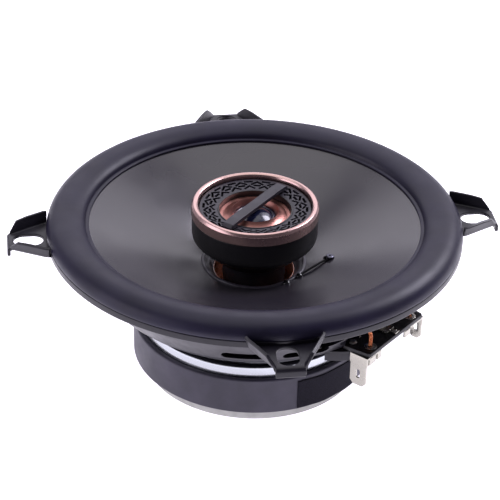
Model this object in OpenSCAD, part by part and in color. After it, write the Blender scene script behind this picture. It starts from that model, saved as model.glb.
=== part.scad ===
// Coaxial car speaker of the 130 mm class, with four slotted mounting tabs.
// Frame: the origin is the centre of the back plate's rear face, and +Z points
// towards the listener. The tabs lie on the X and Y axes. Millimetres.

/* [Mounting] */
// Distance between the centres of opposite slots
slot_spacing = 156; // [155:0.5:157]
// Width of each slot
slot_w = 7.2; // [6:0.1:7.6]
// Length of each slot along its radius, from end to end
slot_l = 10.2; // [9:0.1:11]
// Radius at the tip of each tab
tab_tip_r = 85.4; // [85:0.1:86]
// Height of the tabs' top face above the rear of the back plate
tab_z = 54.3; // [54:0.1:54.6]

/* [Basket] */
// Thickness of the pressed sheet
sheet_t = 1.2; // [1:0.1:1.3]
// Outer radius of the rim
rim_r = 71.8; // [71.5:0.1:72]
// Outer radius of the ring that carries the spider
shelf_r = 50.5; // [50:0.1:51]
// Height of that ring's top face
shelf_z = 34.5; // [34.3:0.1:34.7]
// Number of windows in the lower wall
window_count = 8; // [6:1:10]

/* [Cone and surround] */
// Radius where the cone meets the surround
cone_r = 57.4; // [57:0.1:57.6]
// Height of the cone's front face at that radius
cone_edge_z = 57; // [56.8:0.1:57.1]
// Radius of the cone's neck
neck_r = 17.6; // [17:0.1:18]
// Height of the cone's front face at the neck
neck_z = 40.9; // [40.5:0.1:41.2]
// Thickness of the moulded cone
cone_t = 0.6; // [0.4:0.1:0.8]
// Radius of the surround's crest
crest_r = 65.4; // [65:0.1:66]
// Height of the surround's crest
crest_z = 61.1; // [60.5:0.1:61.5]

/* [Motor] */
// Radius of the back plate
back_plate_r = 38.2; // [37.5:0.1:38.4]
// Thickness of the back plate
back_plate_t = 6; // [5.8:0.1:6]
// Radius of the top plate
top_plate_r = 40.3; // [40:0.1:40.5]
// Height of the top plate's front face
top_plate_z = 23.6; // [23.4:0.1:23.6]
// Thickness of the top plate
top_plate_t = 4.3; // [4:0.1:4.5]
// Outer radius of the boot round the magnet
boot_r = 42.1; // [41.8:0.1:42.3]
// Inner radius of the voice coil former
former_r = 13.9; // [13.8:0.05:14]

/* [Tweeter] */
// Outer radius of the tweeter's trim ring at its foot
trim_r = 22.05; // [21.9:0.05:22.3]
// Height of the trim ring's top
trim_z = 64.65; // [64.5:0.05:65]
// Radius of the post that carries the tweeter
post_r = 10.7; // [10.4:0.1:11]
// Radius of the dome
dome_r = 5.9; // [5.8:0.1:6]
// Rise of the dome
dome_h = 2.1; // [1.8:0.1:2.1]
// Direction of the bridge across the grille, in degrees from +X
bridge_angle = 48.5; // [0:0.5:90]

/* [Terminals] */
// Distance from the axis to the board's outer edge
board_n1 = 60.6; // [60.4:0.1:60.8]
// Length of the board
board_len = 31.8; // [31.4:0.1:32]
// Thickness of the board
board_t = 1.5; // [1.4:0.1:1.6]
// Direction of the board, in degrees from +X
board_angle = -45; // [-45:1:-45]

/* [Hidden] */
$fn = 96;

// Basket
slot_r = slot_spacing / 2;
tab_root_x = 67.2;
tab_root_half = 11.3;
tab_tip_half = 4.7;
tab_lip_h = 3.6;
flange_h = 3.5;
flange_splay = 1.4;
flange_x = rim_r + 0.2;
rim_lip_z = 55.6;
rim_lip_t = 0.9;
wall_top_r = 67;
wall_low_r = 53.4;
wall_low_z = 35.7;
flange_r = 38;
flange_bore_r = 22;
shelf_bore_r = 37.5;
flange_top_z = top_plate_z + sheet_t;
window_l = 21;
window_w = 5.8;
waist_slot_l = 16;
waist_slot_w = 4.2;
rim_slot_l = 16.6;
rim_slot_w = 5;
rim_slot_angles = [-116, 64, 116];
ear_angle = -73;
ear_z = 46.8;
ear_r = 6.1;
ear_strip = 1.5;
platform_n = 53;
platform_lip_h = 3;
basket_rivet_r = 31;
rivet_shank_r = 1.5;

// Cone, voice coil and surround
cone_bow = 0.9;
cone_rim_r = 59.6;
winding_t = 0.7;
former_t = 0.3;
former_out_r = former_r + former_t;
winding_h = 10;
gap_z = top_plate_z - top_plate_t / 2;
former_z0 = 15.5;
former_z1 = 38.4;
roll_in_r = 58.2;
roll_foot_z = 55.8;
roll_t = 0.9;
surround_in_z = cone_edge_z + 0.1;
spider_r = 41;
spider_t = 0.5;
spider_wave = 0.75;

// Motor
magnet_r = 39.2;
magnet_bore_r = 17.5;
magnet_z1 = top_plate_z - top_plate_t;
plate_bore_r = 15.3;
pole_r = 13.5;
pole_z = 24.2;
screw_r = 2;
boot_bore_r = magnet_r + 0.3;
boot_lip_r = top_plate_r + 0.1;
tape_t = 0.45;
tape_start = -76;
tape_sweep = 38;

// Tweeter
housing_r = 21.8;
housing_bore_r = 20.3;
housing_z0 = 43.2;
housing_z1 = 60.1;
baffle_z0 = 58;
baffle_z1 = 59.2;
grille_r = 19.6;
grille_plate_r = 19.2;
grille_bore_r = 12.4;
grille_in_z = 61.9;
grille_wall_z = 60.1;
grille_out_z = 62.9;
grille_t = 0.8;
lattice_step = 20;
lattice_rows = [13.7, 15.9, 18.1];
lattice_slot_w = 0.7;
dome_z = baffle_z1 + 0.25;
dome_t = 0.25;
tweeter_coil_r = 5.35;
tweeter_coil_t = 0.4;

// Terminals, in the board's own frame: x away from the axis, y along the board
ledge_z = shelf_z + 0.12;          // the board's ledge stands just proud of the shelf
board_z0 = ledge_z;
board_z1 = board_z0 + board_t;
board_n0 = board_n1 - 10;
eyelet_n = 57.8;
eyelet_t = 11.7;
blade_t = 0.8;
strip_z = board_z0 - blade_t;
capacitor_r = 3.6;
capacitor_len = 14;
capacitor_n = 46.6;
capacitor_z = ledge_z + capacitor_r + 0.05;
cone_eyelet_r = 26.5;
cone_eyelet_angle = -16;

// Routes of the leads in the board's frame, as round numbers [x, y, z]
positive_route = [
    [57.8, -11.7, 36.6], [57.9, -11.8, 39], [57.6, -12, 41.5], [56, -12.6, 44],
    [52, -13.4, 45.6], [46, -14, 45.4], [40, -14.2, 44.8], [34, -14, 44.6],
    [29, -13.6, 45]
];
negative_route = [
    [57.8, 11.7, 36.6], [57.9, 11.8, 39], [57.6, 12, 41.5], [56, 12.6, 44],
    [52, 13.4, 45.6], [46, 14, 45.2], [40, 14.2, 44.4], [33, 14, 43.6],
    [27, 13.4, 43.4]
];
feed_route = [
    [54.5, 3, 34.5], [54.5, 3, 33], [53.8, 2.4, 30], [51, 1.4, 26.5],
    [47.2, 0.6, 22.8], [44.3, 0.2, 20.4], [43.1, 0, 18.8]
];
capacitor_lead_route = [
    [46.6, 7, 38.2], [46.6, 8.6, 38.2], [48.4, 9.6, 38], [51, 9.8, 37.4],
    [52.2, 9.8, 36.7], [52.3, 9.8, 36.2]
];

// ---- helpers -------------------------------------------------------------

// Height of the cone's front face at radius r
function cone_top(r) = neck_z
    + (cone_edge_z - neck_z) * pow((r - neck_r) / (cone_r - neck_r), cone_bow);

// Height of the grille's top face at radius r
function grille_top(r) = grille_in_z
    + (grille_out_z - grille_in_z) * (r - grille_bore_r) / (grille_plate_r - grille_bore_r);

// Points on an elliptical arc about [cr, cz]
function arc_points(cr, cz, a, b, from, to, steps) =
    [for (i = [0:steps]) let (u = from + (to - from) * i / steps)
        [cr + a * cos(u), cz + b * sin(u)]];

// A smooth path through the control points, with n steps for each span
function spline(p, n) = [
    for (i = [0:len(p) - 2], k = [0:n - 1])
        let (
            a = p[max(i - 1, 0)], b = p[i],
            c = p[i + 1], d = p[min(i + 2, len(p) - 1)], u = k / n
        )
        0.5 * (2 * b + (c - a) * u + (2 * a - 5 * b + 4 * c - d) * u * u
            + (3 * b - a - 3 * c + d) * u * u * u),
    p[len(p) - 1]
];

function unit(v) = v / norm(v);

// A round tube of radius r along a path
module tube(path, r, sides = 8) {
    last = len(path) - 1;
    rings = [
        for (i = [0:last])
            let (
                along = unit(path[min(i + 1, last)] - path[max(i - 1, 0)]),
                ref = [0.31, 0.94, 0.12],
                side = unit(cross(along, ref)),
                up = cross(side, along)
            )
            for (k = [0:sides - 1])
                path[i] + r * (cos(360 * k / sides) * side + sin(360 * k / sides) * up)
    ];
    walls = [
        for (i = [0:last - 1], k = [0:sides - 1])
            [i * sides + k, (i + 1) * sides + k,
             (i + 1) * sides + (k + 1) % sides, i * sides + (k + 1) % sides]
    ];
    start = [for (k = [0:sides - 1]) k];
    end = [for (k = [sides - 1:-1:0]) last * sides + k];
    polyhedron(rings, concat(walls, [start], [end]));
}

module ring(r0, r1, z0, z1) {
    translate([0, 0, z0]) difference() {
        cylinder(r = r1, h = z1 - z0);
        translate([0, 0, -1]) cylinder(r = r0, h = z1 - z0 + 2);
    }
}

// A flat slot with round ends, length l along X and width w
module slot_2d(l, w) {
    square([l - w, w], center = true);
    for (side = [-1, 1]) translate([side * (l - w) / 2, 0]) circle(d = w);
}

// Cuts its children radially through the wall at one angle and height
module radial_cut(angle, z, r0, r1) {
    rotate([0, 0, angle]) translate([r0, 0, z]) rotate([90, 0, 90])
        linear_extrude(r1 - r0) children();
}

// Puts its children in the terminal board's frame
module at_board() {
    rotate([0, 0, board_angle]) children();
}

// ---- basket --------------------------------------------------------------

module bowl() {
    rotate_extrude() polygon([
        [flange_bore_r, top_plate_z], [flange_r, top_plate_z],
        [shelf_r, shelf_z - sheet_t - 0.3], [wall_low_r, wall_low_z],
        [wall_top_r, tab_z - sheet_t], [rim_r, tab_z - sheet_t],
        [rim_r, rim_lip_z], [rim_r - rim_lip_t, rim_lip_z],
        [rim_r - rim_lip_t, tab_z], [wall_top_r - 0.6, tab_z],
        [wall_low_r - 0.9, wall_low_z + 0.8], [shelf_r + 0.4, shelf_z],
        [shelf_bore_r, shelf_z], [shelf_bore_r, shelf_z - sheet_t],
        [shelf_r - 1.6, shelf_z - sheet_t], [flange_r - 0.4, flange_top_z],
        [flange_bore_r, flange_top_z]
    ]);
}

module tab_flange() {
    run = [tab_tip_r - 0.8 - flange_x, tab_root_half - tab_tip_half];
    long = norm(run);
    height = flange_h + sheet_t;
    translate([flange_x, tab_root_half, tab_z - sheet_t])
        rotate([0, 0, -atan2(run[1], run[0])]) intersection() {
            rotate([90, 0, 90]) linear_extrude(long) polygon([
                [-sheet_t, 0], [0.15, 0],
                [flange_splay, height], [flange_splay - sheet_t, height]
            ]);
            rotate([90, 0, 0]) translate([0, 0, -5]) linear_extrude(10) polygon([
                [0, -1], [long, -1], [long, sheet_t], [long - 2.6, height], [0, height]
            ]);
        }
}

module tab() {
    difference() {
        union() {
            translate([0, 0, tab_z - sheet_t]) linear_extrude(sheet_t) polygon([
                [tab_root_x, -tab_root_half], [flange_x, -tab_root_half],
                [tab_tip_r, -tab_tip_half], [tab_tip_r, tab_tip_half],
                [flange_x, tab_root_half], [tab_root_x, tab_root_half]
            ]);
            translate([tab_tip_r - sheet_t, -tab_tip_half, tab_z - tab_lip_h])
                cube([sheet_t, 2 * tab_tip_half, tab_lip_h]);
            tab_flange();
            mirror([0, 1, 0]) tab_flange();
        }
        translate([slot_r, 0, tab_z - 3]) linear_extrude(6) slot_2d(slot_l, slot_w);
    }
}

// The ledge that carries the terminal board, with its turned-down lips
module platform() {
    outline = [[42, -25], [51, -18.5], [platform_n, -16.5]];
    translate([0, 0, ledge_z - sheet_t]) linear_extrude(sheet_t) polygon([
        outline[0], outline[1], outline[2], [platform_n, 16.5], [51, 18.5], [42, 25],
        [44, 12], [44, -12]
    ]);
    for (side = [0, 1]) mirror([0, side, 0])
        translate([0, 0, ledge_z - sheet_t - platform_lip_h + 0.4])
            linear_extrude(platform_lip_h) polygon([
                outline[0] + [4.5, 3.25], outline[1], outline[2],
                outline[2] - [1, -0.3], outline[1] - [1, -0.3]
            ]);
}

module basket() {
    color("#24222b") difference() {
        union() {
            difference() {
                bowl();
                for (k = [0:window_count - 1])
                    radial_cut(360 / window_count * (k + 0.5), 28.9, 36, 52)
                        slot_2d(window_l, window_w);
                for (quarter = [0:90:270], side = [-1, 1])
                    radial_cut(quarter + side * 10.5, 38.9, 50, 62)
                        slot_2d(waist_slot_l, waist_slot_w);
                for (angle = rim_slot_angles)
                    radial_cut(angle, 50.3, 58, 69) slot_2d(rim_slot_l, rim_slot_w);
                // Opening for the terminal board, with a thin strip left round the ear
                difference() {
                    radial_cut(board_angle, 44.9, 51.6, 69) slot_2d(47, 16);
                    radial_cut(ear_angle, ear_z, 40, 80) circle(r = ear_r + ear_strip);
                }
                radial_cut(ear_angle, ear_z, 50, 69) circle(r = ear_r);
                // Clears the wall down to the ledge where the board passes through
                at_board() translate([49.6, -17.4, ledge_z - 0.06]) cube([12, 34.8, 4]);
            }
            for (quarter = [0:90:270]) rotate([0, 0, quarter]) tab();
            at_board() platform();
        }
        for (side = [-1, 1]) at_board() translate([51.8, side * 13.4, 20])
            cylinder(r = 0.9, h = 20);
        for (k = [0:3]) rotate([0, 0, 45 + 90 * k]) translate([basket_rivet_r, 0, 20])
            cylinder(r = rivet_shank_r, h = 6);
    }
}

module basket_rivets() {
    color("#3a3842") for (k = [0:3]) rotate([0, 0, 45 + 90 * k])
        translate([basket_rivet_r, 0, 0]) {
            translate([0, 0, flange_top_z - 3]) cylinder(r = rivet_shank_r, h = 3);
            translate([0, 0, flange_top_z]) cylinder(r1 = 2.8, r2 = 1.8, h = 1.3);
        }
}

// ---- moving cone ---------------------------------------------------------

module surround() {
    a_in = crest_r - roll_in_r;
    a_out = rim_r + 0.1 - crest_r;
    b_in = crest_z - surround_in_z - 0.7;
    b_out = crest_z - roll_foot_z;
    color("#312f3a") rotate_extrude() polygon(concat(
        [[rim_r - rim_lip_t - 0.1, tab_z], [rim_r - rim_lip_t - 0.1, roll_foot_z]],
        arc_points(crest_r, roll_foot_z, a_out, b_out, 0, 90, 14),
        arc_points(crest_r, crest_z - b_in, a_in, b_in, 96, 180, 12),
        [[roll_in_r - 0.8, surround_in_z + 0.6], [roll_in_r - 0.8, surround_in_z],
         [roll_in_r + 1.3, surround_in_z]],
        arc_points(crest_r, crest_z - b_in, a_in - roll_t, b_in - roll_t, 170, 96, 10),
        arc_points(crest_r, roll_foot_z, a_out - roll_t, b_out - roll_t, 90, 32, 8),
        [[70.1, roll_foot_z - 0.6], [66.8, roll_foot_z - 0.6], [66.8, tab_z]]
    ));
}

module cone() {
    steps = 16;
    top = [for (i = [0:steps]) let (r = neck_r + (cone_r - neck_r) * i / steps)
        [r, cone_top(r)]];
    under = [for (i = [steps:-1:0]) top[i] - [0, cone_t]];
    color("#5c5963") difference() {
        rotate_extrude() polygon(concat(
            [[former_out_r, 37], [former_out_r, 37.8]], top,
            [[cone_rim_r, cone_edge_z], [cone_rim_r, cone_edge_z - cone_t]], under
        ));
        rotate([0, 0, cone_eyelet_angle]) translate([cone_eyelet_r, 0, 40])
            cylinder(r = 0.8, h = 10);
    }
}

module neck_collar() {
    color("#7d7b88") rotate_extrude() polygon(concat(
        [[former_out_r, 37.8], [neck_r, neck_z]],
        arc_points(neck_r, 41.15, 0.7, 0.6, 15, 175, 8),
        [[15, 38.9], [former_out_r, 38.5]]
    ));
}

module voice_coil_former() {
    color("#8a5238") ring(former_r, former_out_r, former_z0, former_z1);
}

module voice_coil_winding() {
    color("#b8693a")
        ring(former_out_r, former_out_r + winding_t, gap_z - winding_h / 2, gap_z + winding_h / 2);
}

module spider() {
    waves = 5;
    steps = 40;
    r0 = former_out_r + 0.9;
    r1 = spider_r - 3;
    mid = [for (i = [0:steps]) let (u = i / steps)
        [r0 + (r1 - r0) * u, shelf_z + 1.3 + spider_wave * sin(360 * waves * u - 90)]];
    upper = [for (p = mid) p + [0, spider_t / 2]];
    lower = [for (i = [steps:-1:0]) mid[i] - [0, spider_t / 2]];
    color("#4d4340") rotate_extrude() polygon(concat(
        [[former_out_r + 0.1, 34.9], [former_out_r + 0.1, 36.2]], upper,
        [[spider_r - 2.4, shelf_z + spider_t], [spider_r, shelf_z + spider_t],
         [spider_r, shelf_z], [spider_r - 2.9, shelf_z]],
        lower
    ));
}

module cone_eyelet() {
    z = cone_top(cone_eyelet_r);
    color("#8d8b92") rotate([0, 0, cone_eyelet_angle]) translate([cone_eyelet_r, 0, 0]) {
        translate([0, 0, z - 1.1]) cylinder(r = 0.8, h = 2);
        translate([0, 0, z + 0.7]) cylinder(r = 1.4, h = 0.5);
    }
}

// The coil's own lead, from the neck across the cone to the eyelet
module cone_lead() {
    start = [18.9 * cos(-42), 18.9 * sin(-42)];
    finish = [24.9 * cos(-18.5), 24.9 * sin(-18.5)];
    path = [for (i = [0:9]) let (p = start + (finish - start) * i / 9)
        [p[0], p[1], cone_top(norm(p)) + 0.5]];
    color("#15141a") tube(path, 0.42);
}

module lead_glue() {
    beads = [[18.9, -42, 1.15], [19.1, -62, 1.25], [25.2, -17, 1.2]];
    color("#101014") for (b = beads) rotate([0, 0, b[1]])
        translate([b[0], 0, cone_top(b[0]) + 0.25]) sphere(r = b[2]);
}

// ---- motor ---------------------------------------------------------------

module top_plate() {
    color("#d9dce6") difference() {
        ring(plate_bore_r, top_plate_r, magnet_z1, top_plate_z);
        for (k = [0:3]) rotate([0, 0, 45 + 90 * k])
            translate([basket_rivet_r, 0, flange_top_z - 3]) cylinder(r = rivet_shank_r, h = 4);
    }
}

module magnet() {
    color("#3b3b40") ring(magnet_bore_r, magnet_r, back_plate_t, magnet_z1);
}

module t_yoke() {
    edge = 0.8;
    color("#c9ccd4") difference() {
        rotate_extrude() polygon([
            [0, 0], [back_plate_r - edge, 0], [back_plate_r, edge],
            [back_plate_r, back_plate_t], [pole_r, back_plate_t],
            [pole_r, pole_z - 0.4], [pole_r - 0.4, pole_z], [0, pole_z]
        ]);
        translate([0, 0, -1]) cylinder(r = screw_r, h = pole_z + 2);
        translate([0, 0, -1]) cylinder(r = 4.3, h = 4.4);
    }
}

module magnet_boot() {
    color("#59566a") rotate_extrude() polygon(concat(
        [[boot_bore_r, back_plate_t - 0.1], [boot_r - 0.3, back_plate_t - 0.1],
         [boot_r, back_plate_t + 0.2]],
        arc_points(boot_r - 1, 18.6, 1, 0.9, 0, 85, 8),
        [[boot_lip_r, 19.55], [boot_lip_r, magnet_z1 - 0.05], [boot_bore_r, magnet_z1 - 0.05]]
    ));
}

module cloth_tape() {
    color("#32303d") rotate([0, 0, tape_start]) rotate_extrude(angle = tape_sweep)
        translate([boot_r, 6.5]) square([tape_t, 11.3]);
}

// ---- tweeter -------------------------------------------------------------

module tweeter_post() {
    color("#121115") difference() {
        rotate_extrude() polygon([
            [0, pole_z], [12.8, pole_z], [12.8, 25.8], [11.2, 27],
            [post_r, 27.6], [post_r, 36.9], [post_r + 0.25, 37.1],
            [post_r + 0.25, housing_z0], [0, housing_z0]
        ]);
        translate([0, 0, pole_z - 1]) cylinder(r = screw_r, h = 11);
        translate([0, 0, 34]) cylinder(r = 6.5, h = 12);
    }
}

module tweeter_screw() {
    color("#b9bcc4") {
        difference() {
            translate([0, 0, 0.5]) cylinder(r = 3.9, h = 2.9);
            translate([0, 0, 0]) cylinder(r = 1.9, h = 2, $fn = 6);
        }
        translate([0, 0, 3.4]) cylinder(r = screw_r, h = 30);
    }
}

module tweeter_housing() {
    color("#16151a") rotate_extrude() polygon([
        [4, housing_z0], [11.6, housing_z0], [13.4, 44.3], [20.7, 50.9],
        [21.5, 52], [housing_r, 53.4], [housing_r, housing_z1],
        [housing_bore_r, housing_z1], [housing_bore_r, baffle_z0],
        [19.2, baffle_z0], [19.2, 52.4], [12.6, 45.6], [4, 45.6]
    ]);
}

module tweeter_ring() {
    color("#c89a92") rotate_extrude() polygon([
        [housing_bore_r, housing_z1], [trim_r, housing_z1], [trim_r, housing_z1 + 0.3],
        [trim_r - 0.3, trim_z - 0.55], [trim_r - 0.5, trim_z - 0.15],
        [trim_r - 0.85, trim_z], [20.2, trim_z], [19.75, trim_z - 0.15],
        [grille_r, trim_z - 0.5], [grille_r, 60.8], [housing_bore_r, 60.4]
    ]);
}

// One slot of the lattice, along the line between two of its corners
module lattice_slot(from, to, share) {
    run = to - from;
    translate((from + to) / 2) rotate(atan2(run[1], run[0]))
        square([norm(run) * share, lattice_slot_w], center = true);
}

// The grille's lattice: slots along the sides of two rows of triangles
module lattice_2d() {
    function corner(row, k) = lattice_rows[row]
        * [cos(lattice_step * k), sin(lattice_step * k)];
    for (k = [0:360 / lattice_step - 1]) {
        lattice_slot(corner(2, k), corner(2, k + 1), 0.52);
        lattice_slot(corner(1, k - 0.5), corner(1, k + 0.5), 0.5);
        for (side = [-0.5, 0.5]) {
            lattice_slot(corner(2, k), corner(1, k + side), 0.72);
            lattice_slot(corner(1, k + 0.5), corner(0, k + 0.5 + side), 0.7);
        }
    }
}

module tweeter_grille() {
    skirt_z = grille_out_z - 0.9;
    color("#1b1a1f") difference() {
        rotate_extrude() polygon([
            [grille_bore_r + 0.6, grille_in_z - grille_t], [grille_bore_r + 0.6, grille_wall_z],
            [grille_bore_r, grille_wall_z], [grille_bore_r, grille_in_z + 0.3],
            [grille_bore_r + 0.6, grille_in_z + 0.3],
            [grille_bore_r + 0.6, grille_top(grille_bore_r + 0.6)],
            [grille_plate_r, grille_out_z], [grille_plate_r, skirt_z],
            [grille_r - 0.05, skirt_z], [grille_r - 0.05, baffle_z1],
            [18.9, baffle_z1], [18.9, grille_top(18.9) - grille_t]
        ]);
        translate([0, 0, grille_in_z - 3]) linear_extrude(6) lattice_2d();
    }
}

module grille_bridge() {
    foot_z = grille_top(14.8) + 0.04;
    end_z = grille_top(17.6) + 0.04;
    color("#202026") rotate([0, 0, bridge_angle]) rotate([90, 0, 0])
        translate([0, 0, -1.9]) linear_extrude(3.8) polygon([
            [-17.6, end_z], [-17.6, end_z + 0.4], [-15.2, 64.1], [-12, 64.4],
            [12, 64.4], [15.2, 64.1], [17.6, end_z + 0.4], [17.6, end_z],
            [14.8, foot_z], [13.6, 62.9], [-13.6, 62.9], [-14.8, foot_z]
        ]);
}

module tweeter_baffle() {
    color("#17161a") ring(6.3, housing_bore_r, baffle_z0, baffle_z1);
}

module tweeter_waveguide() {
    color("#b5705a") rotate_extrude() polygon(concat(
        [[7.8, baffle_z1], [12.3, baffle_z1]],
        [[12.4, 60], [11.9, 60]],
        arc_points(11.9, 64.6, 4.6, 5, 262, 215, 6),
        [[7.1, 60.2], [7.1, baffle_z1 + 0.35], [7.8, baffle_z1 + 0.35]]
    ));
}

module tweeter_dome() {
    ball_r = (dome_r * dome_r + dome_h * dome_h) / (2 * dome_h);
    centre_z = dome_z + dome_h - ball_r;
    span = asin(dome_r / ball_r);
    color("#252b4a") rotate_extrude() polygon(concat(
        [for (i = [0:10]) let (u = span * (1 - i / 10))
            [ball_r * sin(u), centre_z + ball_r * cos(u)]],
        [for (i = [0:10]) let (u = span * i / 10)
            [(ball_r - dome_t) * sin(u), centre_z + (ball_r - dome_t) * cos(u)]]
    ));
}

module dome_surround() {
    roll_r = (6.9 - dome_r - 0.05) / 2;
    mid_r = 6.9 - roll_r;
    color("#20253d") rotate_extrude() polygon(concat(
        [[7.7, baffle_z1], [7.7, baffle_z1 + 0.25]],
        arc_points(mid_r, baffle_z1 + 0.25, roll_r, roll_r, 0, 180, 8),
        [[mid_r - roll_r, baffle_z1 + 0.1], [mid_r - roll_r + 0.15, baffle_z1 + 0.1]],
        arc_points(mid_r, baffle_z1 + 0.2, roll_r - 0.18, roll_r - 0.18, 180, 0, 8),
        [[6.75, baffle_z1]]
    ));
}

module tweeter_coil() {
    color("#a8643c") ring(tweeter_coil_r, tweeter_coil_r + tweeter_coil_t, 54.6, dome_z - 0.22);
}

module tweeter_pole_plate() {
    color("#c4c7cf") ring(0.9, 5, 55, 57.2);
}

module tweeter_magnet() {
    color("#9fa2aa") ring(0.9, 4.8, 50.6, 55);
}

module tweeter_motor_cup() {
    color("#b4b7bf") rotate_extrude() polygon([
        [0.9, 48.6], [9, 48.6], [9.5, 49.1], [9.5, baffle_z0], [6.3, baffle_z0],
        [6.3, 50.6], [0.9, 50.6]
    ]);
}

// ---- terminals and leads -------------------------------------------------

module terminal_board() {
    corner = 1.4;
    color("#1d1c20") at_board() difference() {
        translate([0, 0, board_z0]) linear_extrude(board_t) polygon([
            [board_n0, -board_len / 2 - 1], [board_n1 - corner, -board_len / 2],
            [board_n1, -board_len / 2 + corner], [board_n1, board_len / 2 - corner],
            [board_n1 - corner, board_len / 2], [board_n0, board_len / 2 + 1]
        ]);
        for (side = [-1, 1]) {
            translate([eyelet_n, side * eyelet_t, 30]) cylinder(r = 1, h = 10);
            translate([51.8, side * 13.4, 30]) cylinder(r = 0.9, h = 10);
        }
        translate([59, 0.6, 30]) cylinder(r = 0.8, h = 10);
    }
}

// A push-on blade in the plane x-z, hanging from height z1
module blade(n0, n1, z0, z1, step) {
    rotate([90, 0, 0]) linear_extrude(blade_t) difference() {
        polygon([
            [n0, z1], [n1, z1], [n1, z1 - 3.2], [n1 - step, z1 - 3.8],
            [n1 - step, z0 + 1.4], [n1 - step - 1.3, z0], [n0 + step + 1.3, z0],
            [n0 + step, z0 + 1.4], [n0 + step, z1 - 3.8], [n0, z1 - 3.2]
        ]);
        translate([(n0 + n1) / 2, z0 + 4.6]) rotate(90) slot_2d(3.4, 1.5);
    }
}

module positive_terminal() {
    color("#dcdad2") at_board() difference() {
        union() {
            translate([0, -16.1, 0]) blade(53.3, 60.3, 22.8, board_z0, 0.35);
            translate([54.6, -16.4, strip_z]) cube([5.8, 7.8, blade_t]);
            translate([59.6, -15.6, 31.3]) cube([blade_t, 3.8, board_z0 - 31.3]);
            translate([59.6, -10.8, 31.3]) cube([blade_t, 2.2, board_z0 - 31.3]);
        }
        translate([eyelet_n, -eyelet_t, 30]) cylinder(r = 1, h = 10);
    }
}

module negative_terminal() {
    color("#dcdad2") at_board() difference() {
        union() {
            translate([0, 16.9, 0]) blade(55, 60.2, 25.2, board_z0, 0.2);
            translate([54.6, 5.6, strip_z]) cube([5.8, 10.8, blade_t]);
            translate([59.6, 5.6, 31.5]) cube([blade_t, 3.2, board_z0 - 31.5]);
        }
        translate([eyelet_n, eyelet_t, 30]) cylinder(r = 1, h = 10);
    }
}

module eyelet() {
    ring(0.55, 1, strip_z - 0.4, board_z1);
    ring(0.55, 2.2, board_z1, board_z1 + 0.45);
    ring(0.55, 1.6, strip_z - 0.4, strip_z);
}

module terminal_eyelets() {
    color("#c8c6bf") at_board() for (side = [-1, 1])
        translate([eyelet_n, side * eyelet_t, 0]) eyelet();
}

module board_rivets() {
    color("#a9a7a2") at_board() for (side = [-1, 1]) translate([51.8, side * 13.4, 0]) {
        translate([0, 0, ledge_z - sheet_t - 0.6]) cylinder(r = 1.4, h = 0.6);
        translate([0, 0, ledge_z - sheet_t]) cylinder(r = 0.9, h = sheet_t + board_t);
        translate([0, 0, board_z1]) cylinder(r1 = 1.6, r2 = 1.1, h = 0.6);
    }
}

module centre_lug() {
    color("#d5d3cb") at_board() {
        translate([54.2, -2.6, board_z1]) cube([3.8, 4.6, blade_t]);
        translate([54.2, -2.6, board_z1]) cube([blade_t, 4.6, 3]);
        translate([57.4, -0.6, board_z1]) cube([3, 2.4, 0.5]);
        translate([59, 0.6, board_z0]) cylinder(r = 0.8, h = board_t);
        translate([59, 0.6, board_z0 - 0.5]) cylinder(r = 1.3, h = 0.5);
    }
}

module crossover_capacitor() {
    color("#26324f") at_board()
        translate([capacitor_n, -capacitor_len / 2, capacitor_z]) rotate([-90, 0, 0])
            difference() {
                cylinder(r = capacitor_r, h = capacitor_len);
                translate([0, 0, 1.6]) difference() {
                    cylinder(r = capacitor_r + 1, h = 0.7);
                    translate([0, 0, -1]) cylinder(r = capacitor_r - 0.35, h = 3);
                }
            }
}

module capacitor_leads() {
    color("#b7b5b0") at_board() for (side = [-1, 1])
        tube(spline([for (p = capacitor_lead_route) [p[0], side * p[1], p[2]]], 3), 0.35);
}

module tinsel_lead_positive() {
    color("#a5603c") at_board() tube(spline(positive_route, 3), 0.7);
}

module tinsel_lead_negative() {
    color("#a5603c") at_board() tube(spline(negative_route, 3), 0.7);
}

module tweeter_feed_lead() {
    color("#1a1a1e") at_board() tube(spline(feed_route, 3), 0.6);
}

basket();
basket_rivets();
surround();
cone();
neck_collar();
voice_coil_former();
voice_coil_winding();
spider();
cone_eyelet();
cone_lead();
lead_glue();
top_plate();
magnet();
t_yoke();
magnet_boot();
cloth_tape();
tweeter_post();
tweeter_screw();
tweeter_housing();
tweeter_ring();
tweeter_grille();
grille_bridge();
tweeter_baffle();
tweeter_waveguide();
tweeter_dome();
dome_surround();
tweeter_coil();
tweeter_pole_plate();
tweeter_magnet();
tweeter_motor_cup();
terminal_board();
positive_terminal();
negative_terminal();
terminal_eyelets();
board_rivets();
centre_lug();
crossover_capacitor();
capacitor_leads();
tinsel_lead_positive();
tinsel_lead_negative();
tweeter_feed_lead();
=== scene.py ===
"""Looks of the coaxial car speaker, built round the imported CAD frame.

Lengths are in millimetres in this file and become metres when a mesh is made.
"""

import math

import bmesh
import bpy
import numpy as np
from mathutils import Matrix, Vector
from mathutils.geometry import delaunay_2d_cdt


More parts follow.
